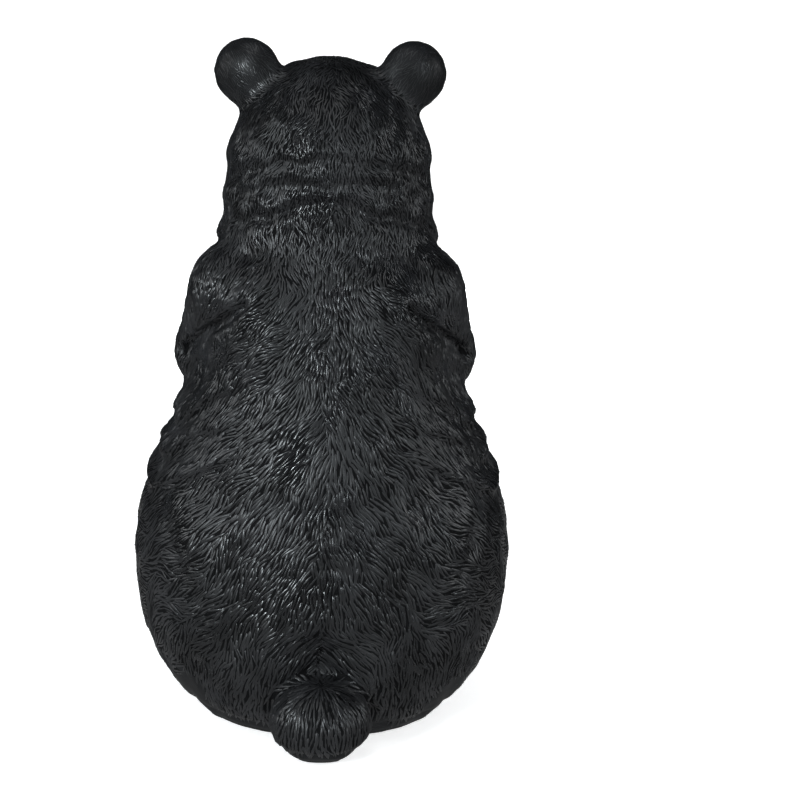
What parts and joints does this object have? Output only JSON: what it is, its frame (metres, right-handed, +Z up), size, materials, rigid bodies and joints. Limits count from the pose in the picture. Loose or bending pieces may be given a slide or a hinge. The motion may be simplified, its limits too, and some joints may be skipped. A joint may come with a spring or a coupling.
{
  "type": "bear statue",
  "caption": "Black bear figure sitting upright on its rump, forepaws on its belly and hind soles forward, with carved fur, round ears and a ball tail; a standing ornament.",
  "frame": {"origin": "on the ground, under the middle of the bounding box", "axes": "+Z up, -Y the way the bear faces, +X to the bear's left hand"},
  "size_m": [0.2136, 0.262, 0.3815],
  "materials": {
    "black_resin": "cast resin under black paint, half matt"
  },
  "bodies": {
    "root": {"bear": "black_resin"}
  },
  "joints": []
}
